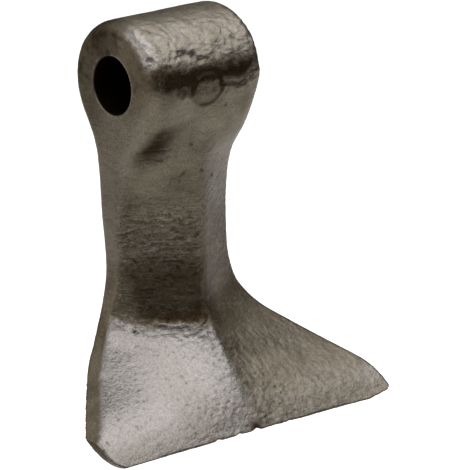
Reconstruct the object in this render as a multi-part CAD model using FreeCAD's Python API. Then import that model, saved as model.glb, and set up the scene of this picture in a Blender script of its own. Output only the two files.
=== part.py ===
import FreeCAD, Part
import os
from math import cos, radians, sin, sqrt, tan

# Forged hammer blade of a mulcher: one piece of steel.
# X is the axis of the pivot bore, -Y is the front, towards which the blade is bent, +Z is up.
# The origin is the middle of the pivot bore. All sizes are in millimetres.

# Eye, the barrel that the pivot bolt goes through
bore_diameter = 20.5
eye_diameter = 44.5
eye_length = 50.0
eye_rounding = 5.0

# Round mark on the front of the eye
mark_diameter = 11.0
mark_height = 0.35
mark_side = -1.0
mark_drop = 0.4

# Sides of the shank, seen from the front
neck_width = 48.6
taper_depth = 48.0         # bore axis down to where the eye's width has become the neck's
taper_rounding = 60.0

# Front of the shank: a roof with its ridge in the middle
ridge_forward = 18.9       # bore axis forward to the ridge
corner_forward = 2.3       # bore axis forward to the front corners of the neck
ridge_gusset_angle = 12.0  # ridge below the eye, from the vertical
roof_gusset_angle = 69.0   # the roof below the eye, run out to the width of the tips
ridge_sweep = 40.0
roof_sweep = 28.8
ridge_softness = 4.0       # the ridge is rounded this far to each side

# Back of the shank: nearly flat, and tapered
back_middle = 13.4         # bore axis back to the middle of the back, below the eye
back_corner = 11.9         # bore axis back to the back corners, below the eye
back_taper = 7.5           # how far the back comes forward from there down to the knee
back_gusset_angle = 34.0
back_roof_gusset_angle = 44.0
back_sweep = 36.8
back_softness = 12.0

# Front of the blade: bent forward at the knee and flared to both sides
blade_depth = 118.0        # bore axis down to the cutting edge
blade_width = 126.2
knee_depth = 79.8
knee_rounding = 8.0
ridge_angle = 35.8         # ridge below the knee, from the vertical
wing_knee_depth = 79.6
wing_knee_rounding = 40.7
wing_angle = 65.9          # front of the wings at the tips, from the vertical
wing_end_depth = 107.6
wing_end_rounding = 55.0
edge_forward = 47.4        # bore axis forward to the ends of the cutting edge
edge_thickness = 3.0

# Back of the blade
back_knee_depth = 83.0
back_knee_rounding = 24.0
wing_back_knee_depth = 90.8
wing_back_knee_rounding = 20.0

# Outline of the blade, seen from the front
flare_angle = 52.3
flare_rounding = 36.2
tip_rounding = 5.6
tip_flat = 0.4             # how much of the round of the tips the flare takes off

# Roundings of the long corners of the shank, which run out along the wings
gusset_depth = 26.0        # bore axis down to where the roundings below the eye are largest
front_gusset_rounding = 11.5
back_gusset_rounding = 4.8
gusset_sweep = 34.0        # how gently those roundings grow and shrink
front_corner_rounding = 4.2
back_corner_rounding = 3.2
wing_corner_rounding = 1.0

# Level sections that the body is drawn through, from the bore axis to the cutting edge
section_count = 20

os.makedirs("parts", exist_ok=True)

eye_radius = eye_diameter / 2
half_eye = eye_length / 2
half_neck = neck_width / 2
half_blade = blade_width / 2
section_step = blade_depth / section_count


def point(across, depth, height):
    return FreeCAD.Vector(across, depth, height)


def line(start, end):
    return Part.LineSegment(start, end).toShape()


# Profiles that run down the piece: (place, height) points, rounded at their corners

def place_at(points, roundings, height):
    for before, corner, after, radius in zip(points, points[1:], points[2:], roundings):
        here = point(corner[0], 0, corner[1])
        up = (point(before[0], 0, before[1]) - here).normalize()
        down = (point(after[0], 0, after[1]) - here).normalize()
        half_angle = up.getAngle(down) / 2
        reach = radius / tan(half_angle)
        if corner[1] + down.z * reach < height < corner[1] + up.z * reach:
            centre = here + (up + down).normalize() * (radius / sin(half_angle))
            side = 1 if here.x > centre.x else -1
            return centre.x + side * sqrt(radius ** 2 - (height - centre.z) ** 2)
    start, end = points[0], points[1]
    for first, second in zip(points, points[1:]):
        if height < first[1]:
            start, end = first, second
    return start[0] + (end[0] - start[0]) * (height - start[1]) / (end[1] - start[1])


def leave_eye(side, angle, level):
    """The straight run that leaves the round of the eye at an angle and reaches a level."""
    start = (side * eye_radius * cos(radians(angle)), -eye_radius * sin(radians(angle)))
    drop = (start[0] - level) * side / tan(radians(angle))
    return [start, (level, start[1] - drop)]


def side_profile(points, roundings, height):
    """A profile that follows the round of the eye down to its first point."""
    if height > points[0][1]:
        side = 1 if points[0][0] > 0 else -1
        return side * sqrt(eye_radius ** 2 - height ** 2)
    return place_at(points, roundings, height)


# Each face is straight across, from its middle to its place at the width of the tips
tips_per_neck = half_blade / half_neck
roof_level = -ridge_forward + (ridge_forward - corner_forward) * tips_per_neck
back_level = back_middle - (back_middle - back_corner) * tips_per_neck
ridge_end = -ridge_forward - (blade_depth - knee_depth) * tan(radians(ridge_angle))
wing_turn = roof_level - (wing_end_depth - wing_knee_depth) * tan(radians(wing_angle))

front_middle_points = leave_eye(-1, ridge_gusset_angle, -ridge_forward) + [
    (-ridge_forward, -knee_depth), (ridge_end, -blade_depth)]
front_tip_points = leave_eye(-1, roof_gusset_angle, roof_level) + [
    (roof_level, -wing_knee_depth), (wing_turn, -wing_end_depth), (-edge_forward, -blade_depth)]
back_middle_points = leave_eye(1, back_gusset_angle, back_middle) + [
    (back_middle - back_taper, -back_knee_depth), (ridge_end + edge_thickness, -blade_depth)]
back_tip_points = leave_eye(1, back_roof_gusset_angle, back_level) + [
    (back_level - back_taper, -wing_back_knee_depth), (edge_thickness - edge_forward, -blade_depth)]

# The line of the flare meets the round of the tip at the top
tip_centre = point(half_blade - tip_rounding, 0, tip_rounding - blade_depth)
tip_outward = point(cos(radians(flare_angle)), 0, sin(radians(flare_angle)))
flare_point = tip_centre + tip_outward * (tip_rounding - tip_flat)
flare_depth = -flare_point.z - (flare_point.x - half_neck) / tan(radians(flare_angle))
flare_run = (blade_depth - flare_depth) * tan(radians(flare_angle))
outline_points = [(half_eye, 0), (half_neck, -taper_depth), (half_neck, -flare_depth),
                  (half_neck + flare_run, -blade_depth)]


def half_width(height):
    return place_at(outline_points, [taper_rounding, flare_rounding], height)


def front_faces(height):
    middle = side_profile(front_middle_points, [ridge_sweep, knee_rounding], height)
    tip = side_profile(front_tip_points, [roof_sweep, wing_knee_rounding, wing_end_rounding], height)
    return middle, middle + (tip - middle) * half_width(height) / half_blade


def back_faces(height):
    middle = side_profile(back_middle_points, [back_sweep, back_knee_rounding], height)
    tip = side_profile(back_tip_points, [back_sweep, wing_back_knee_rounding], height)
    return middle, middle + (tip - middle) * half_width(height) / half_blade


def corner_radius(gusset_radius, neck_radius, height):
    points = [(eye_rounding, 0), (gusset_radius, -gusset_depth), (neck_radius, -taper_depth),
              (neck_radius, -flare_depth), (wing_corner_rounding, -wing_end_depth),
              (wing_corner_rounding, -blade_depth)]
    return place_at(points, [gusset_sweep, gusset_sweep, gusset_sweep, gusset_sweep], height)


# The level sections: six straight sides, rounded at their corners

def rounding(before, corner, after, radius=None, reach=None):
    up = (before - corner).normalize()
    down = (after - corner).normalize()
    half_angle = up.getAngle(down) / 2
    if reach is None:
        reach = radius / tan(half_angle)
    arc = Part.BezierCurve()
    arc.setPoles([corner + up * reach, corner, corner + down * reach])
    arc.setWeight(2, sin(half_angle))
    return arc


def section(height):
    across = half_width(height)
    ridge, front = front_faces(height)
    spine, back = back_faces(height)
    corners = [point(0, ridge, height), point(across, front, height), point(across, back, height),
               point(0, spine, height), point(-across, back, height), point(-across, front, height)]
    front_radius = corner_radius(front_gusset_rounding, front_corner_rounding, height)
    back_radius = corner_radius(back_gusset_rounding, back_corner_rounding, height)
    radii = [None, front_radius, back_radius, None, back_radius, front_radius]
    reaches = [ridge_softness, None, None, back_softness, None, None]
    arcs = []
    for index in range(6):
        before = corners[index - 1]
        after = corners[(index + 1) % 6]
        arcs.append(rounding(before, corners[index], after, radii[index], reaches[index]))
    edges = []
    for index in range(6):
        arc = arcs[index]
        edges.append(arc.toShape())
        edges.append(line(arc.getPole(3), arcs[(index + 1) % 6].getPole(1)))
    return Part.Wire(edges)


# Shank and blade, drawn through the sections from the bore axis down

def shank_and_blade():
    heights = [section_step - index * section_step for index in range(section_count + 2)]
    body = Part.makeLoft([section(height) for height in heights], True, False)
    above = Part.makeBox(2 * eye_length, 2 * eye_diameter, 2 * section_step,
                         point(-eye_length, -eye_diameter, 0))
    return body.cut(above)


# Upper half of the eye, a barrel with rounded ends

def eye_top():
    inner = eye_radius - eye_rounding
    flat = half_eye - eye_rounding
    diagonal = eye_rounding * sin(radians(45))
    edges = [line(point(-half_eye, 0, 0), point(-half_eye, -inner, 0)),
             Part.Arc(point(-half_eye, -inner, 0), point(-flat - diagonal, -inner - diagonal, 0),
                      point(-flat, -eye_radius, 0)).toShape(),
             line(point(-flat, -eye_radius, 0), point(flat, -eye_radius, 0)),
             Part.Arc(point(flat, -eye_radius, 0), point(flat + diagonal, -inner - diagonal, 0),
                      point(half_eye, -inner, 0)).toShape(),
             line(point(half_eye, -inner, 0), point(half_eye, 0, 0)),
             line(point(half_eye, 0, 0), point(-half_eye, 0, 0))]
    barrel = Part.Face(Part.Wire(edges))
    return barrel.revolve(point(0, 0, 0), point(-1, 0, 0), 180)


# What is cut away outside the round of one tip

def tip_waste():
    start = tip_centre + tip_outward * tip_rounding
    side = tip_centre + point(tip_rounding, 0, 0)
    bottom = tip_centre - point(0, 0, tip_rounding)
    far = start + tip_outward * blade_width
    low = point(far.x, 0, -2 * blade_depth)
    below = point(bottom.x, 0, -2 * blade_depth)
    edges = [Part.Arc(bottom, side, start).toShape(), line(start, far), line(far, low),
             line(low, below), line(below, bottom)]
    waste = Part.Face(Part.Wire(edges)).extrude(point(0, 4 * eye_diameter, 0))
    waste.translate(point(0, -3 * eye_diameter, 0))
    return waste


def mark():
    length = eye_radius + mark_height
    return Part.makeCylinder(mark_diameter / 2, length, point(mark_side, 0, -mark_drop), point(0, -1, 0))


def bore():
    return Part.makeCylinder(bore_diameter / 2, 2 * eye_length, point(-eye_length, 0, 0), point(1, 0, 0))


waste = tip_waste()
blade = shank_and_blade().cut(waste).cut(waste.mirror(point(0, 0, 0), point(1, 0, 0)))
hammer_blade = blade.fuse(eye_top()).fuse(mark()).cut(bore()).removeSplitter().Solids[0]
hammer_blade.exportStep("parts/hammer_blade.step")
print("hammer_blade", hammer_blade.ShapeType, "valid" if hammer_blade.isValid() else "not valid",
      round(hammer_blade.Volume), "mm3")
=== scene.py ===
# %% [markdown]
# A mulcher's hammer blade. It swings on a rotor bolt through the round eye at its top, and its
# flared blade, bent forward, meets the brush with a straight edge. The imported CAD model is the
# fixed frame that everything here is built around, in metres, with the origin in the middle of
# the pivot bore, +X along the bore and -Y to the front.

# %% The frame
from math import cos, pi, radians, sin, sqrt, tan

import bmesh
import bpy
import numpy as np
from mathutils import Matrix, Vector, noise


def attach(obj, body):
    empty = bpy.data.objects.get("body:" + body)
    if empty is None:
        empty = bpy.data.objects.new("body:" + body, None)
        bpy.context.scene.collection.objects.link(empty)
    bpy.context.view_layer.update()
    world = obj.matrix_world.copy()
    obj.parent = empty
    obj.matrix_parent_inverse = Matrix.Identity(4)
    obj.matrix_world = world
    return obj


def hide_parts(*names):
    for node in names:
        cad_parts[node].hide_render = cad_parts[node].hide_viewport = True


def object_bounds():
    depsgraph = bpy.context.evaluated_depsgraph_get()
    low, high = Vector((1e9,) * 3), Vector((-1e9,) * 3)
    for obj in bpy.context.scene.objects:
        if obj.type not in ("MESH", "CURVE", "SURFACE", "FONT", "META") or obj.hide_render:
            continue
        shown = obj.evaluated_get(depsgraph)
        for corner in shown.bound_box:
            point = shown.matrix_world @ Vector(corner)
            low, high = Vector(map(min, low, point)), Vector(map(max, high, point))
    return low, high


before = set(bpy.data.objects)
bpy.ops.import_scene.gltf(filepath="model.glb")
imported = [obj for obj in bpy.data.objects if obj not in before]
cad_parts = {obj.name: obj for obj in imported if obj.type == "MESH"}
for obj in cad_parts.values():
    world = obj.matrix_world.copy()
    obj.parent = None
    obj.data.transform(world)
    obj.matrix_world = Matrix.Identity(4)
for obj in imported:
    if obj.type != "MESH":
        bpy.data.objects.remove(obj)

cad_box = [list(corner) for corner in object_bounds()]
print("CAD box", cad_box)

# %% [markdown]
# The photograph was taken with a long lens from the left of the front, a little above, so the
# piece shows hardly any perspective. The camera stands a metre and a half away, and its frame is
# placed beside the line of sight instead of shifting the lens.

# %% The camera
MM = 0.001
camera_turn = radians(40.004)
camera_rise = radians(17.12)
camera_roll = radians(-0.0975)
camera_distance = 1486.7 * MM
camera_right = 22.93 * MM
camera_down = 55.51 * MM
camera_lens = 330.8

sight = Vector((cos(camera_rise) * sin(camera_turn), cos(camera_rise) * cos(camera_turn),
                -sin(camera_rise)))
level_right = Vector((cos(camera_turn), -sin(camera_turn), 0))
level_up = level_right.cross(sight)
right = level_right * cos(camera_roll) + level_up * sin(camera_roll)
up = level_up * cos(camera_roll) - level_right * sin(camera_roll)

camera_data = bpy.data.cameras.new("photo_camera")
camera_data.lens = camera_lens
camera_data.sensor_width = 36.0
camera = bpy.data.objects.new("photo_camera", camera_data)
place = -camera_distance * sight + camera_right * right - camera_down * up
camera.matrix_world = Matrix((right, up, -sight)).transposed().to_4x4()
camera.matrix_world.translation = place
bpy.context.scene.collection.objects.link(camera)
bpy.context.scene.camera = camera
print("camera at", [round(value, 3) for value in place])

# %% [markdown]
# The forging has one shape from top to bottom: a barrel for the eye, a shank with a roof-shaped
# front, and a blade that bends forward and spreads. A level cut anywhere below the bore is a
# six-sided figure with rounded corners, so the body is made from such level rings. Their sizes,
# in millimetres, are the ones that the CAD model is drawn with.

# %% Sizes of the forging
bore_radius = 20.5 / 2
eye_radius = 44.5 / 2
half_eye = 50.0 / 2
eye_rounding = 5.0
half_neck = 48.6 / 2
taper_depth = 48.0
blade_depth = 118.0
half_blade = 126.2 / 2
edge_thickness = 3.0
tip_rounding = 5.6
tip_flat = 0.4
flare_angle = radians(52.3)
wing_end_depth = 107.6


def place_at(points, roundings, height):
    """Reads a profile of (place, height) points, whose corners are rounded, at one height."""
    for before, corner, after, radius in zip(points, points[1:], points[2:], roundings):
        here = Vector(corner)
        upward = (Vector(before) - here).normalized()
        downward = (Vector(after) - here).normalized()
        half_angle = upward.angle(downward) / 2
        reach = radius / tan(half_angle)
        if corner[1] + downward.y * reach < height < corner[1] + upward.y * reach:
            centre = here + (upward + downward).normalized() * (radius / sin(half_angle))
            side = 1 if here.x > centre.x else -1
            return centre.x + side * sqrt(radius ** 2 - (height - centre.y) ** 2)
    start, end = points[0], points[1]
    for first, second in zip(points, points[1:]):
        if height < first[1]:
            start, end = first, second
    return start[0] + (end[0] - start[0]) * (height - start[1]) / (end[1] - start[1])


def leave_eye(side, angle, level):
    """The straight run that leaves the round of the eye at an angle and reaches a level."""
    start = (side * eye_radius * cos(angle), -eye_radius * sin(angle))
    return [start, (level, start[1] - (start[0] - level) * side / tan(angle))]


def side_profile(points, roundings, height):
    """A profile that follows the round of the eye down to its first point."""
    if height > points[0][1]:
        side = 1 if points[0][0] > 0 else -1
        return side * sqrt(eye_radius ** 2 - height ** 2)
    return place_at(points, roundings, height)


# %% [markdown]
# Seen from the side, the front runs straight down the ridge and turns forward at the knee, and
# the back tapers to meet it at the edge. Seen from the front, the sides narrow a little below
# the eye and then flare out to the tips. Each of these lines is a few corners with a rounding
# at each, so one number moves or softens a bend.

# %% The profiles of the front, the back and the sides
ridge, corner = -18.9, -2.3
back_middle, back_corner, back_taper = 13.4, 11.9, 7.5
knee_depth, wing_knee_depth = 79.8, 79.6
edge_place = -47.4

roof_level = ridge + (corner - ridge) * half_blade / half_neck
back_level = back_middle - (back_middle - back_corner) * half_blade / half_neck
ridge_end = ridge - (blade_depth - knee_depth) * tan(radians(35.8))
wing_turn = roof_level - (wing_end_depth - wing_knee_depth) * tan(radians(65.9))

front_middle = leave_eye(-1, radians(12.0), ridge) + [(ridge, -knee_depth), (ridge_end, -blade_depth)]
front_tip = leave_eye(-1, radians(69.0), roof_level) + [
    (roof_level, -wing_knee_depth), (wing_turn, -wing_end_depth), (edge_place, -blade_depth)]
spine = leave_eye(1, radians(34.0), back_middle) + [
    (back_middle - back_taper, -83.0), (ridge_end + edge_thickness, -blade_depth)]
back_tip = leave_eye(1, radians(44.0), back_level) + [
    (back_level - back_taper, -90.8), (edge_thickness + edge_place, -blade_depth)]

tip_centre = Vector((half_blade - tip_rounding, tip_rounding - blade_depth))
flare_point = tip_centre + Vector((cos(flare_angle), sin(flare_angle))) * (tip_rounding - tip_flat)
flare_depth = -flare_point.y - (flare_point.x - half_neck) / tan(flare_angle)
outline = [(half_eye, 0), (half_neck, -taper_depth), (half_neck, -flare_depth),
           (half_neck + (blade_depth - flare_depth) * tan(flare_angle), -blade_depth)]


def flare_width(height):
    return place_at(outline, [60.0, 36.2], min(height, 0))


def low_round(width, end, radius, height):
    """Takes the corner at the foot of a tip off with a round."""
    below = max(0.0, radius - blade_depth - height)
    return min(width, end - radius + sqrt(max(0.0, radius ** 2 - below ** 2)))


def half_width(height):
    return low_round(flare_width(height), half_blade, tip_rounding, height)


def worn_width(height):
    """The right tip is rubbed away: an arc runs on from the flare, and its foot is a smaller round."""
    worn_radius = 14.0
    centre = flare_point - Vector((cos(flare_angle), sin(flare_angle))) * worn_radius
    centre -= Vector((sin(flare_angle), -cos(flare_angle))) * 3.3
    width = flare_width(height)
    if height < centre.y + worn_radius * sin(flare_angle):
        width = min(width, centre.x + sqrt(worn_radius ** 2 - (height - centre.y) ** 2))
    return low_round(width, centre.x + worn_radius, 3.2, height)


def corner_radius(gusset, neck, wing, height):
    points = [(eye_rounding, 0), (gusset, -26.0), (neck, -taper_depth), (neck, -flare_depth),
              (wing, -wing_end_depth), (wing, -blade_depth)]
    return place_at(points, [34.0] * 4, min(height, 0))


# %% [markdown]
# One ring has six straight sides: two fronts that meet at the ridge, two ends, and two backs.
# Its corners are rounded by curves of three weighted points, with the same number of steps at
# every level, so that the rings join point to point.

# %% One level ring of the body
arc_steps = 8
side_steps = 14


def ring(height):
    """The points of one level cut, in order round the body, starting at the ridge."""
    right, left = worn_width(height), -half_width(height)
    ridge_place = side_profile(front_middle, [40.0, 8.0], height)
    front_place = side_profile(front_tip, [28.8, 40.7, 55.0], height)
    spine_place = side_profile(spine, [36.8, 24.0], height)
    back_place = side_profile(back_tip, [36.8, 20.0], height)
    corners = [Vector((0, ridge_place))]
    for side, middle, tip in ((right, ridge_place, front_place), (right, spine_place, back_place),
                              (0, spine_place, back_place), (left, spine_place, back_place),
                              (left, ridge_place, front_place)):
        corners.append(Vector((side, middle + (tip - middle) * abs(side) / half_blade)))
    front_radius = corner_radius(11.5, 4.2, 2.2, height)
    right_radius = corner_radius(11.5, 4.2, 0.8, height)
    back_radius = corner_radius(4.8, 3.2, 1.0, height)
    radii = [None, right_radius, back_radius, None, back_radius, front_radius]
    ridge_softness = 4.0 - 2.6 * min(max((-height - knee_depth) / 8.0, 0.0), 1.0)
    softness = [ridge_softness, None, None, 12.0, None, None]
    arcs = []
    for index, here in enumerate(corners):
        toward = (corners[index - 1] - here).normalized()
        onward = (corners[(index + 1) % 6] - here).normalized()
        half_angle = toward.angle(onward) / 2
        reach = softness[index] or radii[index] / tan(half_angle)
        arcs.append((here + toward * reach, here, here + onward * reach, sin(half_angle)))
    points = []
    for index, (first, middle, last, weight) in enumerate(arcs):
        for step in range(arc_steps + 1):
            t = step / arc_steps
            parts = ((1 - t) ** 2, 2 * t * (1 - t) * weight, t ** 2)
            points.append((first * parts[0] + middle * parts[1] + last * parts[2]) / sum(parts))
        following = arcs[(index + 1) % 6][0]
        for step in range(1, side_steps):
            points.append(last.lerp(following, step / side_steps))
    return points


# %% [markdown]
# The body is a flat grid, bent round: its columns go round the body and its rows go down it.
# Rows lie closer together at the rounded tips. The top row stands a little inside the eye, so
# that the two shapes overlap and become one skin when they are remeshed.

# %% The body
level_step = 0.75
overlap = 1.5
tip_levels = 12
levels = list(np.arange(overlap, tip_centre.y + level_step / 2, -level_step))
levels += [tip_centre.y - tip_rounding * sin(pi / 2 * step / tip_levels)
           for step in range(tip_levels + 1)]
rings = [ring(level) for level in levels]
around = len(rings[0])

body = bmesh.new()
bmesh.ops.create_grid(body, x_segments=around, y_segments=len(levels) - 1, size=0.5)
for vertex in body.verts:
    column = round((vertex.co.x + 0.5) * around) % around
    row = round((0.5 - vertex.co.y) * (len(levels) - 1))
    spot = rings[row][column]
    vertex.co = Vector((spot.x, spot.y, levels[row])) * MM
bmesh.ops.remove_doubles(body, verts=body.verts, dist=0.01 * MM)
ends = [edge for edge in body.edges if edge.is_boundary]
bmesh.ops.holes_fill(body, edges=ends, sides=0)
bmesh.ops.recalc_face_normals(body, faces=body.faces)
print("body", len(body.verts), "vertices,", len(levels), "levels")

# %% [markdown]
# The upper half of the eye is a barrel with rounded ends: its outline is spun half a turn about
# the axis of the bore.

# %% The upper half of the eye
end_steps = 8
outline_points = [(-half_eye, 0)]
for step in range(end_steps + 1):
    angle = pi / 2 * step / end_steps
    outline_points.append((-half_eye + eye_rounding * (1 - cos(angle)),
                           eye_radius - eye_rounding * (1 - sin(angle))))
outline_points += [(-place, radius) for place, radius in reversed(outline_points)]

eye = bmesh.new()
spine_vertices = [eye.verts.new(Vector((place, -radius, 0)) * MM) for place, radius in outline_points]
spine_edges = [eye.edges.new(pair) for pair in zip(spine_vertices, spine_vertices[1:])]
bmesh.ops.spin(eye, geom=spine_vertices + spine_edges, cent=(0, 0, 0), axis=(1, 0, 0), angle=-pi, steps=96)
bmesh.ops.remove_doubles(eye, verts=eye.verts, dist=0.01 * MM)
bmesh.ops.holes_fill(eye, edges=[edge for edge in eye.edges if edge.is_boundary], sides=0)
bmesh.ops.recalc_face_normals(eye, faces=eye.faces)
print("eye", len(eye.verts), "vertices")


# %% [markdown]
# In the die the steel of eye and body flowed together, so no seam may show. A voxel remesh
# draws one even skin over both shapes, fine enough to carry the relief that follows.

# %% One skin over both
def new_object(name, mesh):
    item = bpy.data.objects.new(name, mesh)
    bpy.context.scene.collection.objects.link(item)
    return item


def apply_modifiers(item):
    """Keeps what the modifiers make as the object's own mesh."""
    bpy.context.view_layer.update()
    made = bpy.data.meshes.new_from_object(item.evaluated_get(bpy.context.evaluated_depsgraph_get()))
    item.modifiers.clear()
    item.data = made


skin_size = 0.65

mesh = bpy.data.meshes.new("forging")
body.to_mesh(mesh)
both = bmesh.new()
both.from_mesh(mesh)
eye.to_mesh(mesh)
both.from_mesh(mesh)
both.to_mesh(mesh)
for part in (body, eye, both):
    part.free()
forging = new_object("forging", mesh)
remesh = forging.modifiers.new("skin", "REMESH")
remesh.mode = "VOXEL"
remesh.voxel_size = skin_size * MM
remesh.use_smooth_shade = True
apply_modifiers(forging)
print("skin", len(forging.data.vertices), "vertices,", len(forging.data.polygons), "faces")

# %% [markdown]
# A hammer forging is never smooth. Its surface rolls gently where the scale was beaten in, it is
# pitted, and it is folded where the steel was bent at the knee. Each of these is worked out for
# every point of the skin and moves the point along its normal, so that it shows from any side and
# in the mesh itself. Noise is read at the point's place in millimetres, divided by the grain.

# %% Places and noise on the skin
class Skin:
    """The points of an object in millimetres, with masks of 0 to 1 that say what is where."""

    def __init__(self, item):
        count = len(item.data.vertices)
        flat = np.empty(count * 3, np.float32)
        item.data.vertices.foreach_get("co", flat)
        self.points = flat.reshape(-1, 3) / MM
        flat = np.empty(count * 3, np.float32)
        item.data.vertices.foreach_get("normal", flat)
        self.normals = flat.reshape(-1, 3)
        self.across, self.depth, self.height = self.points.T
        self.facing = fade(-self.normals[:, 1], 0.1, 0.5)
        self.turn = np.degrees(np.arctan2(self.height, -self.depth))
        self.on_shank = 1 - fade(-self.height, 80, 88)

    def noise(self, grain, octaves=2, seed=0, drift=0.0):
        """Soft noise of about -1 to 1, with bumps of one grain (a number, or one for each axis)."""
        spread = np.broadcast_to(np.array(grain, float), (3,))
        shifted = (self.points + drift) / spread + 17.3 * seed
        return np.array([noise.fractal(Vector(spot), 1.0, 2.0, octaves) for spot in shifted])

    def near(self, place, reach):
        """1 at a place, falling to 0 at a reach (a number, or one for each axis)."""
        away = (self.points - np.array(place)) / np.broadcast_to(np.array(reach, float), (3,))
        return 1 - fade(np.sqrt((away ** 2).sum(1)), 0, 1)


def fade(values, start, end):
    """Goes smoothly from 0 at start to 1 at end."""
    t = np.clip((values - start) / (end - start), 0, 1)
    return t * t * (3 - 2 * t)


def within(values, low, high, soft):
    """1 between low and high, with soft ends."""
    return fade(values, low - soft, low + soft) * (1 - fade(values, high - soft, high + soft))


def bump(values, middle, reach):
    """1 in the middle, falling off to both sides like a bell."""
    return np.exp(-((values - middle) / reach) ** 2)


def knee_line(across):
    """Height of the crease at the knee, on the left half of the front."""
    return -84.9 + 0.0134 * (across + 9.0) ** 2


def folded_lines(skin):
    """Thin broken folds across the shank, about 2 mm apart: 1 on a crest and -1 in a groove."""
    level = skin.height + 2.3 * skin.noise((6.5, 6.5, 4.0), 2, 28)
    return np.sin(2 * pi * level / 2.1) * fade(skin.noise((5.0, 5.0, 2.0), 2, 29), -0.4, 0.2)


def slanting_streaks(skin):
    """Short streaks that run down the wings at a slant, from -1 to 1."""
    slant = np.stack([0.87 * skin.across + 0.5 * skin.height, 0.5 * skin.depth,
                      0.87 * skin.height - 0.5 * skin.across], 1)
    return skin.noise((1.2, 1.8, 3.4), 3, 7, slant - skin.points)


def lap_height(skin):
    """Height of the lap on the front of the eye: level, then rising to the right end."""
    return -0.3 + 1.2 * skin.noise((4.5, 60.0, 60.0), 2, 12) + 4.5 * fade(skin.across, 15, 22)


def above_knee_line(skin):
    """How far a point lies above the crease at the knee, which wanders a little."""
    return skin.height - knee_line(skin.across) + 1.1 * skin.noise((3.5, 9, 9), 3, 24)


def wrinkled_shank(skin):
    """Where the shank is wrinkled: most at its middle, and a third as much down to the knee."""
    return within(-skin.height, 45, 66, 5) + 0.35 * within(-skin.height, 66, 80, 3)


def flash_line(skin, slope, reach):
    """The thin line of flash on the upper left corner of the blade, where the face turns away."""
    turned = bump(-skin.normals[:, 1], slope, reach)
    return turned * within(-skin.height, 84, 96, 1.5) * (1 - fade(skin.across, -32, -28))


def from_mark(skin):
    """Distance from the middle of the round mark, which is a little wider than it is high."""
    return np.hypot((skin.across + 1.0) / 1.12, skin.height + 0.4)


skin = Skin(forging)
print("skin from", skin.points.min(0).round(1), "to", skin.points.max(0).round(1))

# %% [markdown]
# The depths below are in millimetres. They are small on a piece of this size, but metal mirrors
# what stands round it, so that a slope of a few degrees already shows.

# %% The roll and the pits of the whole surface
pits = [(8.2, -21.0, -7.9), (6.9, -15.0, -33.6), (0.0, -17.9, -30.2), (-5.0, -18.1, -20.3),
        (-14.3, -13.2, -26.4), (-21.4, -4.9, -42.6), (-24.6, -11.1, -85.9), (3.0, -17.5, -48.0),
        (-16.0, -13.0, -40.0)]
pit_depth = 0.6
scratch_depth = 0.09
small_pit_depth = 0.13

relief = (0.05 + 0.05 * skin.on_shank) * skin.noise(9.0, 2, 1) + 0.05 * skin.noise(2.2, 3, 2)
scratches = np.maximum(0, 1 - 3.5 * abs(skin.noise((3.2, 3.2, 2.2), 2, 19)))
relief -= scratch_depth * scratches * skin.facing * skin.on_shank
pitted_areas = 0.35 + 0.65 * fade(skin.noise(11.0, 1, 11), -0.3, 0.4)
relief -= small_pit_depth * fade(skin.noise(1.7, 2, 10), 0.30, 0.75) * pitted_areas
for index, place in enumerate(pits):
    relief -= pit_depth * skin.near(place, 0.9 + 0.2 * (index % 3))
print("rolled surface with", len(pits), "large pits")

# %% [markdown]
# The upper front of the eye is the roughest: its scale was beaten in, in lumps of two to three
# millimetres, with three deep hollows in a row. The noise is read at places that swirl about,
# so that the lumps don't look like plain noise.

# %% The beaten upper front of the eye
beaten_depth = 0.42
hollow_depth = 0.8
# Each hollow has a place, its reach and the reach of the soot that fills it
hollows = [((-8.7, -18.6, 12.2), 2.6, 2.2), ((-4.5, -19.4, 11.0), 2.0, 1.8),
           ((-2.5, -20.2, 9.4), 1.8, 1.6)]

swirl = 2.4 * np.stack([skin.noise(5.5, 1, seed) for seed in (3, 4, 5)], 1)
beaten = within(skin.turn, 24, 74, 6) * fade(skin.height, 4, 8) * skin.facing
beaten *= beaten_depth - 0.08 * fade(skin.across, -14, -2)
relief += beaten * skin.noise((2.1, 3.0, 3.0), 3, 6, swirl)
for place, reach, stain in hollows:
    relief -= hollow_depth * skin.near(place, (reach * 1.3, reach, reach))
print("beaten to", beaten.max().round(2), "mm, with", len(hollows), "hollows")

# %% [markdown]
# A lap is a fold of steel that the die pressed flat: a step that never welded. This one runs
# across the lower right of the barrel. Left of it, flakes of scale cling round the mark.

# %% The lap and the clinging scale
lap_step = 0.50
lap_roughness = 0.40
scale_height = 0.40

lap = within(skin.across, 4, 23, 2) * within(skin.turn, -24, 16, 4)
above_lap = skin.height - lap_height(skin)
relief += lap * lap_step * fade(above_lap, 0.5, -0.5) * fade(above_lap, -6, -1)
relief += lap * lap_roughness * within(above_lap, -4, 1, 1) * skin.noise((2.4, 2.0, 1.6), 3, 32)
scaled = np.maximum(skin.near((-18.0, -21.0, 4.0), (9, 8, 6)), skin.near((-9.0, -22.0, 2.5), (8, 6, 4)))
relief += scaled * scale_height * skin.noise((2.0, 1.8, 1.3), 3, 13)
print("lap over", np.count_nonzero(lap > 0.5), "points")

# %% [markdown]
# A pin of the die leaves a round mark like this one. Its points are raised to one level, by
# less than half a millimetre, and the relief under it is halved.

# %% The round mark on the front of the eye: flat, a little proud, with a worn rim
mark_level = 22.6
mark_height = 0.45
uneven_radius = from_mark(skin) + 0.3 * skin.noise(2.5, 2, 34)
marked = (1 - fade(uneven_radius, 4.9, 5.8)) * fade(-skin.depth, 19, 21)
relief = relief * (1 - 0.5 * marked) + marked * np.minimum(mark_level + skin.depth, mark_height)
print("mark over", np.count_nonzero(marked > 0.5), "points")

# %% [markdown]
# Where the hot steel was bent, the skin inside the bend had to go somewhere: it folded in thin
# lines across the shank and in one crease along the knee. Only the left half shows them.

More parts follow.
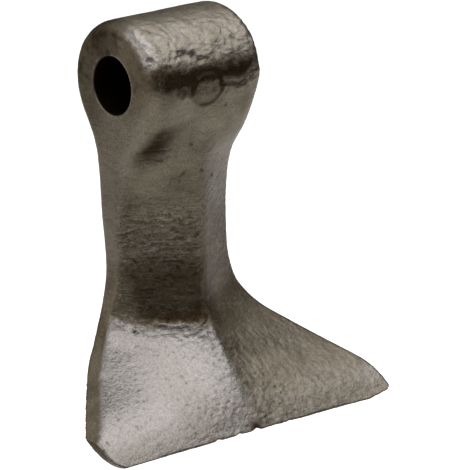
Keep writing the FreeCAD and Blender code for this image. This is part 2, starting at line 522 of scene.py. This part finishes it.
# %% Wrinkles and the crease at the knee
fold = np.stack([0 * skin.across, 0 * skin.across, 1.7 * skin.noise(7.0, 2, 8)], 1)
wrinkles = skin.noise((4.5, 4.5, 1.5), 2, 9, fold)
left_half = 1 - fade(skin.across, -3, 1)
above_knee = above_knee_line(skin)
relief += skin.facing * left_half * wrinkled_shank(skin) * (0.26 * wrinkles + 0.20 * folded_lines(skin))
crumpled = skin.facing * left_half * within(above_knee, -5, 1.5, 1.5)
relief += crumpled * 0.24 * skin.noise((3.4, 2.4, 1.2), 3, 14, fold)
crease_edge = 0.14 * bump(above_knee, 0.0, 0.8) * (1 + skin.noise((3.0, 9.0, 9.0), 2, 15))
relief += skin.facing * left_half * crease_edge
lip = skin.facing * within(skin.across, -15, -3, 1.5)
relief += lip * (0.22 * bump(above_knee, -0.4, 0.6) - 0.06 * bump(above_knee, -1.5, 0.5))
print("crumpled over", np.count_nonzero(crumpled > 0.5), "points")

# %% [markdown]
# Under the hammer the steel of the wings spread outwards and down, so their scale is drawn out
# in short slanting streaks. The right wing keeps them, and the left one is rubbed calm.

# %% Streaks on the wings
wing = fade(-skin.height, 86, 94) * skin.facing
right_part = fade(skin.across, -2, 6)
streaks = slanting_streaks(skin)
relief += wing * right_part * (0.14 - 0.06 * fade(skin.across, 10, 28)) * streaks
relief += wing * right_part * 0.07 * skin.noise(1.1, 3, 35)
relief += wing * within(skin.across, 3, 18, 3) * fade(-skin.height, 98, 106) * 0.05 * streaks
relief += wing * (1 - right_part) * (0.03 * streaks + 0.10 * skin.noise(1.4, 3, 16))
right_side = skin.facing * fade(skin.across, 1, 4) * within(-skin.height, 48, 88, 6)
relief += right_side * 0.12 * skin.noise(1.6, 3, 37)
rough_spots = [(6.0, -29.0, -94.0), (5.0, -43.0, -114.0)]
for place in rough_spots:
    relief += skin.near(place, 4.0) * 0.36 * skin.noise(1.3, 2, 17)

# The left wing is calmer, with a bright chip at its foot and a line of flash at its top
calm = fade(-skin.across, 14, 30) * wing
relief *= 1 - 0.5 * calm
relief += 0.4 * skin.near((-61.9, -40.8, -111.0), (1.5, 2.2, 3.2))
relief += 0.45 * flash_line(skin, 0.25, 0.18)
print("relief", relief.min().round(2), "to", relief.max().round(2), "mm")

# %% [markdown]
# The cutting edge is ragged and chipped by stones, and its right end is worn upwards. Its points
# are lifted by the amount that is missing there, a little backwards too, as the edge is slanted.

# %% The worn cutting edge
lifted = np.array([0, 0.35, 0.9])
right_end_wear = 1.6
# Each chip has a place, its reach along the edge and its depth
chips = [((-16.2, -46.7, -118.0), 2.0, 0.5), ((-6.9, -46.3, -118.0), 1.8, 0.5),
         ((1.0, -46.0, -118.0), 2.2, 0.8), ((15.6, -46.4, -118.0), 1.6, 0.35),
         ((-60.0, -44.0, -113.0), 3.0, 0.7)]

moved = skin.points + skin.normals * relief[:, None]
edge = 1 - fade(skin.height, -117.8, -114.5)
ragged = 0.06 * fade(skin.noise((3.6, 40.0, 40.0), 3, 18), 0.0, 0.8)
ragged += right_end_wear * fade(skin.across, 51, 63)
for place, reach, deep in chips:
    ragged += deep * skin.near(place, (reach, 5.0, 5.0))
moved += (edge * ragged)[:, None] * lifted
moved = np.clip(moved, np.array(cad_box[0]) / MM, np.array(cad_box[1]) / MM)
forging.data.vertices.foreach_set("co", (moved * MM).astype(np.float32).ravel())
forging.data.update()
print("edge with", len(chips), "chips")

# %% [markdown]
# The bore is reamed after forging, so it is cut last and keeps a crisp edge, with a small
# chamfer. The cutter is an outline spun about the axis of the bore.

# %% The pivot bore
chamfer = 0.5
cutter_end = half_eye + 5.0
cutter_outline = [(-cutter_end, 0), (-cutter_end, bore_radius + chamfer + 5.0),
                  (-half_eye + chamfer, bore_radius), (half_eye - chamfer, bore_radius),
                  (cutter_end, bore_radius + chamfer + 5.0), (cutter_end, 0)]
cutter = bmesh.new()
rim = [cutter.verts.new(Vector((place, -radius, 0)) * MM) for place, radius in cutter_outline]
rim_edges = [cutter.edges.new(pair) for pair in zip(rim, rim[1:])]
bmesh.ops.spin(cutter, geom=rim + rim_edges, cent=(0, 0, 0), axis=(1, 0, 0), angle=2 * pi, steps=128,
               use_merge=True)
bmesh.ops.remove_doubles(cutter, verts=cutter.verts, dist=0.01 * MM)
bmesh.ops.recalc_face_normals(cutter, faces=cutter.faces)
cutter_mesh = bpy.data.meshes.new("bore_cutter")
cutter.to_mesh(cutter_mesh)
cutter.free()
bore_cutter = new_object("bore_cutter", cutter_mesh)

bore = forging.modifiers.new("bore", "BOOLEAN")
bore.operation = "DIFFERENCE"
bore.solver = "EXACT"
bore.object = bore_cutter
apply_modifiers(forging)
bpy.data.objects.remove(bore_cutter)
forging.data.calc_loop_triangles()
print("bored", len(forging.data.vertices), "vertices,", len(forging.data.loop_triangles), "triangles")

# %% [markdown]
# Forged steel is dark: a skin of olive to brown oxide covers it. Where brush and soil rub it,
# the oxide is gone and the bare steel is paler and smoother. The amount of wear, which also
# carries painted highlights, of brown rust, and of dark soot, which also carries painted shade,
# is kept at every point, for the material to read.

# %% What the masks share
def keep(item, name, values):
    item.data.attributes.new(name, "FLOAT", "POINT").data.foreach_set("value", np.clip(values, 0, 1))


skin = Skin(forging)
fine = skin.noise(1.6, 3, 21)
above_knee = above_knee_line(skin)
streaks = slanting_streaks(skin)
creases = folded_lines(skin)
shank = wrinkled_shank(skin)
ends = fade(abs(skin.normals[:, 0]), 0.75, 0.92)
lip = skin.facing * within(skin.across, -16, -3, 1.5)
left_corner = (-59.7, -39.6, -110.0)

# The ridge parts the left face from the right one. It wanders, and is softer on the shank
ridge_side = skin.across + 1.3 * skin.noise(2.4, 2, 26) + 1.6 * (1 - fade(-skin.height, 78, 92))
ridge_width = 2.5 + 1.5 * skin.on_shank + fade(-skin.height, 90, 118) * 2
left = 1 - fade(ridge_side, 0.5 - 1.5 * skin.on_shank, ridge_width)
right_wing = skin.facing * (1 - left) * fade(-skin.height, 88, 96)
facet = skin.facing * left * (1 - fade(above_knee + 0.9 * fine, -3.2, 0.6))
facet *= 1 - fade(skin.height, -80, -76)
print("left face", np.count_nonzero(facet > 0.5), "points, right one", np.count_nonzero(right_wing > 0.5))

# %% [markdown]
# The left face of the blade meets the brush first and is worn nearly bright, and a painted
# highlight makes it lighter still beside the ridge and low on its left. The right one is worn in
# streaks, and the eye on its upper front. A painted highlight runs along the rounded left end of
# the eye and along the rims of the bore. The crests of the shank's folds are lighter by wear and
# by a painted highlight, and a painted highlight runs along the lip at the knee.

# %% Where the steel is worn, and where highlights are painted
ripe = 0.5 + 0.5 * fine
wear_and_highlight = facet * (0.84 + 0.12 * ripe) * (1 - 0.25 * fade(-skin.height, 98, 116))
# Beside the ridge and in one place low on the left, the face is painted lighter still, as a painted
# highlight.
beside_ridge = within(skin.across, -14, 0, 4) * within(-skin.height, 84, 106, 5)
wear_and_highlight += facet * (0.25 * skin.near((-47.0, -25.0, -100.0), (16, 18, 12)) + 0.2 * beside_ridge)

wear_and_highlight += 0.15 * within(skin.turn, 66, 130, 8) * fade(skin.height, 8, 14)
eye_front = within(skin.turn, 22, 66, 8) * fade(skin.height, 5, 10) * fade(-skin.normals[:, 1], 0.1, 0.5)
# The rounded left end of the eye gets a painted highlight streak along its corner.
painted_end_highlight = within(skin.across, -24.7, -19.8, 0.6) * within(skin.turn, 28, 72, 5) * fade(skin.height, 4, 9)
wear_and_highlight += eye_front * (0.08 + 0.55 * ripe) + painted_end_highlight * (0.25 + 0.65 * ripe)
from_axis = np.hypot(skin.depth, skin.height)
# A painted highlight runs along the chamfers of the bore.
wear_and_highlight += 0.8 * within(from_axis, bore_radius + 0.15, bore_radius + 0.9, 0.15)

wear_and_highlight += right_wing * (0.08 + 0.12 * fade(fine, 0.0, 0.6) + 0.34 * ripe * fade(-skin.height, 101, 112))
wear_and_highlight += right_wing * 0.16 * fade(streaks, 0.0, 0.5)
wear_and_highlight += skin.near((58.0, -43.0, -110.5), (9, 8, 5)) * 0.6

# The crests of the folds are lighter: wear, and a painted highlight.
wear_and_highlight += 0.4 * left * skin.facing * shank * fade(creases, 0.3, 0.95)
# A painted highlight runs along the lip of the crease at the knee.
wear_and_highlight += 0.9 * lip * bump(above_knee, -0.3, 0.6)
wear_and_highlight += 0.8 * flash_line(skin, 0.20, 0.09) + 0.9 * skin.near((-61.9, -40.8, -111.2), (1.4, 2.0, 3.4))
wear_and_highlight += 0.35 * ends * within(-skin.height, 6, 84, 8)
turned_edge = within(-skin.normals[:, 1], 0.2, 0.7, 0.1) * (1 - fade(skin.across, -30, -26))
wear_and_highlight += 0.4 * within(-skin.height, 88, 112, 3) * turned_edge
keep(forging, "wear_and_highlight", wear_and_highlight)
print("mean wear", wear_and_highlight.mean().round(3))

# %% [markdown]
# Brown rust sits where water stays: in the clinging scale beside the mark, in the chips of the
# edge, on the right side of the shank and thinly above the knee.

# %% Where it rusts
patchy = 0.5 + 0.5 * skin.noise(6.0, 3, 20)
scaly = fade(skin.noise((2.4, 2.4, 2.0), 3, 22), -0.35, 0.25)
crust = np.maximum(skin.near((-18.0, -20.5, 5.0), (11, 8, 9)), skin.near((-10.0, -22.0, 1.0), (9, 6, 6)))
crust = fade(crust + 0.22 * skin.noise((2.2, 2.2, 1.6), 3, 30), 0.25, 0.6)
rust = 0.6 * crust * scaly
rust += 0.9 * skin.near((1.0, -45.5, -116.5), 4.0) + 0.7 * skin.near((-18.0, -46.0, -117.5), 2.5)
rust += 0.12 * ends + 0.5 * skin.near(left_corner, (0.8, 1.2, 1.6))
rust += skin.facing * (1 - left) * (0.02 + 0.22 * within(-skin.height, 46, 90, 14))
rust += 0.35 * left * skin.facing * within(-skin.height, 62, 80, 5) * fade(fine, -0.3, 0.5)
rust += 0.3 * skin.near((2.0, -18.5, -79.0), (10, 8, 5)) * fade(fine, -0.2, 0.4)
keep(forging, "rust", rust * (0.5 + 0.5 * patchy))
print("mean rust", rust.mean().round(3))

# %% [markdown]
# Soot and old grease keep to the places that nothing rubs: in the hollows and pits, round the
# mark, along the lap, in the grooves of the shank and inside the bore. The same mask also paints
# shade: a dark reflection above the lap, a shadow on the lower right of the mark, a line under the
# lip at the knee, shade in the grooves and a line along the foot of the edge. It also darkens the
# place under the eye and the shank towards the knee.

# %% Dark under the eye and down the shank, soot and a painted reflection at the lap, painted shade at the edge
smear = fade(skin.noise((7.0, 7.0, 0.7), 3, 23), -1.1, 0.2)
# Darker under the left of the eye, in level streaks.
from_left = skin.across + 20.5 - 0.34 * (skin.height + 13.2) + 0.5 * skin.noise(2.5, 2, 25)
soot_and_shade = fade(from_left, -1.0, 2.2) * (1 - fade(from_left, 4, 16)) * within(skin.height, -23.5, -12.5, 2.8)
soot_and_shade *= skin.facing * (0.6 + 0.4 * smear)
soot_and_shade += 0.6 * skin.near((-9.0, -14.5, -33.0), (5, 6, 4.5)) * fade(fine, -0.2, 0.4)
soot_and_shade += 0.8 * crust * (0.45 + 0.55 * fade(skin.noise(1.4, 3, 38), -0.3, 0.3))
soot_and_shade += 0.6 * skin.near((-0.5, -25.0, -88.5), (5, 6, 6)) * fade(fine, -0.3, 0.4)
soot_and_shade += 0.6 * skin.near((3.0, -20.0, -80.0), (9, 9, 14)) * fade(fine, -0.7, 0.3)

above_lap = skin.height - lap_height(skin)
# Above the lap, the front of the eye carries a band of dark scale with a painted dark reflection.
band = fade(above_lap, 0.6, 3.4) * (1 - fade(skin.turn + 4 * skin.noise((3.5, 3.0, 3.0), 3, 33), 13, 24))
soot_and_shade += band * fade(skin.across, -22, -16) * fade(-skin.normals[:, 1], 0.5, 0.9)
under_lap = 0.5 * within(above_lap, -3.5, 0, 0.8) * fade(fine, -0.1, 0.4)
along_lap = 0.55 * bump(above_lap, 0.0, 0.7) * fade(fine, -0.6, 0.1)
soot_and_shade += within(skin.across, 4, 23, 2) * (under_lap + along_lap) * skin.facing

# The shank darkens towards the knee, on its left half and near the ridge on its right half.
from_corner = skin.across + 1.6 * skin.noise(2.4, 3, 36)
left_dark = 0.15 * fade(-skin.height, 46, 56) + 0.6 * fade(-skin.height, 56, 69)
left_dark += 0.25 * fade(-above_knee, -7, -2) * fade(skin.across, -24, -12)
left_dark *= fade(above_knee + 0.9 * fine, -2.4, 2.0) * (0.4 + 0.6 * fade(from_corner, -24, -19.5))
soot_and_shade += left * skin.facing * left_dark
right_dark = within(-skin.height, 62, 82, 6) * (1 - fade(from_corner, 4, 12))
soot_and_shade += 0.35 * (1 - left) * skin.facing * right_dark
# A painted shade line runs along the foot of the cutting edge, and dirt sits at the left corner.
soot_and_shade += 0.6 * (1 - fade(skin.height, -117.8, -117.0)) + 0.4 * skin.near(left_corner, (0.8, 1.2, 1.6))
print("soot on the shank", soot_and_shade[shank > 0.5].mean().round(3))

# %% Dirt and a painted shadow round the mark, dirt in the hollows and in the pits
mark_radius = from_mark(skin)
lower_right = skin.across - skin.height
rim = bump(mark_radius, 5.8, 0.8) * fade(-skin.depth, 18, 20)
# Dirt fills the rim all round, and a painted shadow darkens its lower right, the side away from the light;
# the next line paints more of that shadow inside the rim.
soot_and_shade += rim * (0.6 + 0.4 * fade(lower_right, 0, 5))
soot_and_shade += 0.5 * bump(mark_radius, 5.3, 1.0) * fade(lower_right, 1, 6) * fade(-skin.depth, 18, 20)
soot_and_shade += 0.35 * (1 - fade(mark_radius, 4.5, 5.5)) * fade(-skin.depth, 19, 21) * fade(fine, -0.1, 0.5)
for place, reach, stain in hollows:
    soot_and_shade += 0.8 * skin.near(place, stain)
for place in pits:
    soot_and_shade += 0.9 * skin.near(place, 0.9)
print("dirt in", len(hollows) + len(pits), "hollows and pits")

# %% Dirt and painted shade at the knee, on the blade, at the ends and in the bore
# The lip's crest is kept clean for its painted highlight, and a painted shade line runs just under it.
soot_and_shade *= 1 - 0.9 * lip * bump(above_knee, -0.3, 0.7)
soot_and_shade += 0.25 * lip * bump(above_knee, -1.8, 0.5)
mottle = skin.noise(1.3, 3, 31)
soot_and_shade += facet * (0.13 * fade(mottle, 0.0, 0.4) + 0.45 * fade(mottle, 0.5, 0.8))
soot_and_shade += 1 - fade(from_axis, bore_radius + 0.1, bore_radius + 0.4)
soot_and_shade += 1.2 * skin.near((1.0, -45.8, -116.6), (3.5, 4.0, 2.6))
soot_and_shade += 0.4 * skin.near((5.5, -43.0, -113.5), (6, 6, 5)) * fade(fine, -0.3, 0.4)
soot_and_shade += 0.22 * right_wing * fade(-streaks, 0.0, 0.5) * (1 - 0.5 * fade(skin.across, 14, 34))
soot_and_shade += 0.4 * within(skin.across, -26, -18.5, 1) * within(skin.turn, 76, 130, 6)
soot_and_shade += ends * fade(skin.height, -14, 0) * 0.4 * fade(skin.noise(4.0, 3, 27), 0.0, 0.7)
soot_and_shade += 0.5 * (1 - fade(skin.across, -21, -18)) * fade(skin.height, -26, -12) * fade(skin.depth, -3, 12)
soot_and_shade += 0.45 * ends * fade(-skin.height, 84, 92) + 0.09 * right_wing * (1 - fade(-skin.height, 102, 110))
faint_line = bump(skin.height + 33.3 - 0.9 * (skin.across + 8.7), 0.0, 1.0)
faint_line *= within(skin.across, -12.5, -5.5, 1)
soot_and_shade += 0.5 * faint_line * skin.facing * fade(fine, -0.2, 0.4)
# The grooves of the folds are darker: soot, and painted shade.
soot_and_shade += 0.5 * left * skin.facing * shank * fade(-creases, 0.2, 0.9)
keep(forging, "soot_and_shade", soot_and_shade)
print("mean soot", soot_and_shade.mean().round(3))

# %% [markdown]
# The last mask says where the folds of the shank and the knee go on, finer than the mesh can
# show. The material draws them as a bump.

# %% Where the skin is finely wrinkled
wrinkled = skin.facing * left * (within(-skin.height, 42, 80, 6) + 0.35 * within(above_knee, -4, 4, 2))
keep(forging, "wrinkled", 0.02 + 0.14 * skin.on_shank + wrinkled)
print("mean wrinkling", wrinkled.mean().round(3))

# %% [markdown]
# Shaders work in linear light, while a colour is read off a card or a screen as sRGB hex, so
# one function turns the one into the other. Another adds a node with its settings and links.

# %% Colours and nodes
def linear(code):
    """A colour written as sRGB hex, such as "8a7f70", as the linear numbers that shaders take."""
    parts = [int(code[index:index + 2], 16) / 255 for index in (0, 2, 4)]
    return [part / 12.92 if part <= 0.04045 else ((part + 0.055) / 1.055) ** 2.4 for part in parts] + [1.0]


def add(tree, kind, inputs=None, **settings):
    """Adds one node. An input takes a number, a colour or another node's output."""
    node = tree.nodes.new(kind)
    for name, value in settings.items():
        setattr(node, name, value)
    for name, value in (inputs or {}).items():
        if isinstance(value, bpy.types.NodeSocket):
            tree.links.new(value, node.inputs[name])
        else:
            node.inputs[name].default_value = value
    return node


def new_material(name):
    material = bpy.data.materials.new(name)
    material.use_nodes = True
    material.node_tree.nodes.clear()
    return material, material.node_tree


def per_metre(grain):
    """The Scale of a noise node, for a grain in millimetres."""
    return 1 / (grain * MM)


# %% [markdown]
# The finish is drop-forged steel as it left the die: the hammer beat the black scale of the hot
# bar into the skin. That gives the eye a dark, olive to brown metal with broad soft highlights.
# It is a metal all over, so one shader with metallic 1 does it, and its base colour goes from the
# oxide to bare steel, to brown rust and to soot by the masks; the bare steel also paints highlights
# and the soot paints shade. Bare steel is smoother than oxide, and rust is rougher.

# %% Forged steel: its colours
steel, tree = new_material("forged_steel")
masks = {name: add(tree, "ShaderNodeAttribute", attribute_name=name).outputs["Fac"]
         for name in ("wear_and_highlight", "rust", "soot_and_shade", "wrinkled")}
where = add(tree, "ShaderNodeTexCoord").outputs["Object"]
patches = add(tree, "ShaderNodeTexNoise", {"Vector": where, "Scale": per_metre(9.0), "Detail": 5.0})
tones = add(tree, "ShaderNodeValToRGB", {"Fac": patches.outputs["Fac"]})
tones.color_ramp.elements[0].position = 0.35
tones.color_ramp.elements[0].color = linear("585145")
tones.color_ramp.elements[1].position = 0.65
tones.color_ramp.elements[1].color = linear("696255")

# The grain of the scale is finer than a tenth of a millimetre, and is drawn at 0.7 mm to show
grain = add(tree, "ShaderNodeTexNoise", {"Vector": where, "Scale": per_metre(0.7), "Detail": 4.0})
speck = add(tree, "ShaderNodeMapRange", {"Value": grain.outputs["Fac"], "From Min": 0.3, "From Max": 0.7,
                                         "To Min": 0.72, "To Max": 1.28})
tint = tones.outputs["Color"]
# The bare steel colour also paints the highlights that the wear mask carries, and the soot colour the
# painted shade of its mask.
for name, code in (("wear_and_highlight", "777370"), ("rust", "523f2c"), ("soot_and_shade", "2a2116")):
    mixed = add(tree, "ShaderNodeMix", {0: masks[name], 6: tint, 7: linear(code)}, data_type="RGBA")
    tint = mixed.outputs[2]
colour = add(tree, "ShaderNodeVectorMath", {0: tint, "Scale": speck.outputs["Result"]}, operation="SCALE")
print("colours by", ", ".join(masks))

# %% [markdown]
# Roughness says how broad a highlight is. Worn places are smoother, rust scatters the light,
# and the grain changes both a little, so that the highlights break up.

# %% Forged steel: its roughness
polish = add(tree, "ShaderNodeMapRange", {"Value": masks["wear_and_highlight"], "To Min": 0.47, "To Max": 0.37})
rusty = add(tree, "ShaderNodeMath", {0: masks["rust"], 1: 0.4, 2: polish.outputs["Result"]},
            operation="MULTIPLY_ADD")
gloss = add(tree, "ShaderNodeMapRange", {"Value": grain.outputs["Fac"], "From Min": 0.3, "From Max": 0.7,
                                         "To Min": -0.06, "To Max": 0.06})
rough = add(tree, "ShaderNodeMath", {0: rusty.outputs[0], 1: gloss.outputs["Result"]}, operation="ADD",
            use_clamp=True)
print("nodes so far", len(tree.nodes))

# %% [markdown]
# The finest folds and the grain of the scale are far too small for the mesh, so they are a bump.
# A fold is the line along which a noise crosses its middle value.

# %% Forged steel: its fine folds and grain
squeezed = add(tree, "ShaderNodeVectorMath", {0: where, 1: (1.0, 1.0, 2.4)}, operation="MULTIPLY")
folds = add(tree, "ShaderNodeTexNoise", {"Vector": squeezed.outputs["Vector"], "Scale": per_metre(5.0),
                                         "Detail": 4.0, "Distortion": 0.5})
middle = add(tree, "ShaderNodeMath", {0: folds.outputs["Fac"], 1: 0.5}, operation="SUBTRACT")
away = add(tree, "ShaderNodeMath", {0: middle.outputs[0]}, operation="ABSOLUTE")
depth = add(tree, "ShaderNodeMapRange", {"Value": away.outputs[0], "From Max": 0.05, "To Max": 2.2})
crease = add(tree, "ShaderNodeMath", {0: depth.outputs["Result"], 1: masks["wrinkled"]},
             operation="MULTIPLY")
heights = add(tree, "ShaderNodeMath", {0: crease.outputs[0], 1: grain.outputs["Fac"]}, operation="ADD")
bumps = add(tree, "ShaderNodeBump", {"Height": heights.outputs[0], "Strength": 0.7, "Distance": 0.16 * MM})
surface = add(tree, "ShaderNodeBsdfPrincipled", {
    "Base Color": colour.outputs["Vector"], "Metallic": 1.0, "Roughness": rough.outputs[0],
    "Normal": bumps.outputs["Normal"]})
add(tree, "ShaderNodeOutputMaterial", {"Surface": surface.outputs["BSDF"]})

forging.data.materials.clear()
forging.data.materials.append(steel)
for polygon in forging.data.polygons:
    polygon.material_index = 0
print("forged steel with", len(tree.nodes), "nodes")

# %% [markdown]
# The photograph's background is plain white. The floor lies well below the hanging hammer, and
# the world is pale all round. Both show their white only to the rays that see them, from the
# camera or by way of the metal, so that it adds no light to the hammer, and the floor, a matt
# paper, still keeps the shadow.

# %% Floor and world
def background_rays(tree):
    """1 for the rays that see the background, from the camera, a mirror or glass, else 0."""
    path = add(tree, "ShaderNodeLightPath")
    seen = add(tree, "ShaderNodeMath", {0: path.outputs["Is Camera Ray"], 1: path.outputs["Is Glossy Ray"]},
               operation="MAXIMUM")
    seen = add(tree, "ShaderNodeMath", {0: seen.outputs[0], 1: path.outputs["Is Transmission Ray"]},
               operation="MAXIMUM")
    return seen.outputs[0]


floor_drop = 0.25
floor_glow = 0.6
floor_mesh = bpy.data.meshes.new("floor")
sheet = bmesh.new()
bmesh.ops.create_grid(sheet, x_segments=1, y_segments=1, size=4.0)
bmesh.ops.translate(sheet, verts=sheet.verts, vec=(0, 0, -floor_drop))
sheet.to_mesh(floor_mesh)
sheet.free()
floor = new_object("floor", floor_mesh)
pale, tree = new_material("pale_floor")
seen = background_rays(tree)
glow = add(tree, "ShaderNodeMath", {0: seen, 1: floor_glow}, operation="MULTIPLY")
matt = add(tree, "ShaderNodeBsdfDiffuse", {"Color": linear("e6e6e6")})
light = add(tree, "ShaderNodeEmission", {"Color": linear("ffffff"), "Strength": glow.outputs[0]})
both = add(tree, "ShaderNodeAddShader", {0: matt.outputs[0], 1: light.outputs[0]})
add(tree, "ShaderNodeOutputMaterial", {"Surface": both.outputs[0]})
floor_mesh.materials.append(pale)
print("floor", floor_drop, "m below the bore")

world = bpy.data.worlds.new("studio")
world.use_nodes = True
tree = world.node_tree
tree.nodes.clear()
seen = background_rays(tree)
level = add(tree, "ShaderNodeMapRange", {"Value": seen, "To Min": 0.3, "To Max": 1.0})
back = add(tree, "ShaderNodeBackground", {"Color": linear("ffffff"), "Strength": level.outputs["Result"]})
add(tree, "ShaderNodeOutputWorld", {"Surface": back.outputs[0]})
bpy.context.scene.world = world
bpy.context.scene.view_settings.view_transform = "Standard"
print("world", world.name)

# %% [markdown]
# One large soft box hangs above the right and a long narrow one stands on the left. Metal mirrors
# its surroundings, so it also needs something dark to mirror: a ring of cloth stands round the
# hammer at its own height, nearly black in front, pale on the left and brown on the right. It
# gives the eye its dark band. The camera looks past it.

# %% Soft boxes and cloths
def soft_box(name, place, target, width, length, power):
    lamp = bpy.data.lights.new(name, "AREA")
    lamp.shape = "RECTANGLE"
    lamp.size = width
    lamp.size_y = length
    lamp.energy = power
    item = bpy.data.objects.new(name, lamp)
    aim = (Vector(target) - Vector(place)).to_track_quat("-Z", "Y")
    item.matrix_world = Matrix.Translation(Vector(place)) @ aim.to_matrix().to_4x4()
    bpy.context.scene.collection.objects.link(item)
    return item


def dark_cloth(name, start, end, low, high, radius, code):
    """A cloth on a round rail, from one azimuth to another, in degrees from -Y towards +X."""
    mesh = bpy.data.meshes.new(name)
    cloth = bmesh.new()
    foot = Vector((radius * sin(radians(start)), -radius * cos(radians(start)), low))
    post = [cloth.verts.new(foot), cloth.verts.new(foot + Vector((0, 0, high - low)))]
    edge = cloth.edges.new(post)
    bmesh.ops.spin(cloth, geom=post + [edge], cent=(0, 0, 0), axis=(0, 0, 1), angle=radians(end - start),
                   steps=32)
    cloth.to_mesh(mesh)
    cloth.free()
    item = new_object(name, mesh)
    dull, tree = new_material(name)
    shade = add(tree, "ShaderNodeBsdfDiffuse", {"Color": linear(code)})
    add(tree, "ShaderNodeOutputMaterial", {"Surface": shade.outputs[0]})
    mesh.materials.append(dull)
    item.visible_camera = False
    item.visible_shadow = False
    item.visible_diffuse = False
    return item


soft_box("overhead_box", (0.417, -0.227, 0.92), (0.107, 0.103, -0.05), 1.55, 1.25, 14.6)
soft_box("left_box", (-0.78, 0.05, 0.62), (0, 0, 0), 1.2, 0.30, 3.6)
dark_cloth("front_cloth", -75, 88, -0.13, 0.27, 0.55, "18140d")
dark_cloth("left_cloth", -185, -75, -0.22, 0.25, 0.55, "cfc2a4")
dark_cloth("right_cloth", 88, 185, -0.19, 0.45, 0.55, "5c523c")
print("cloths hung")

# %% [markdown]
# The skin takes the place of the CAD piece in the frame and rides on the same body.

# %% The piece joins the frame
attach(forging, "root")
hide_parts("hammer_blade")
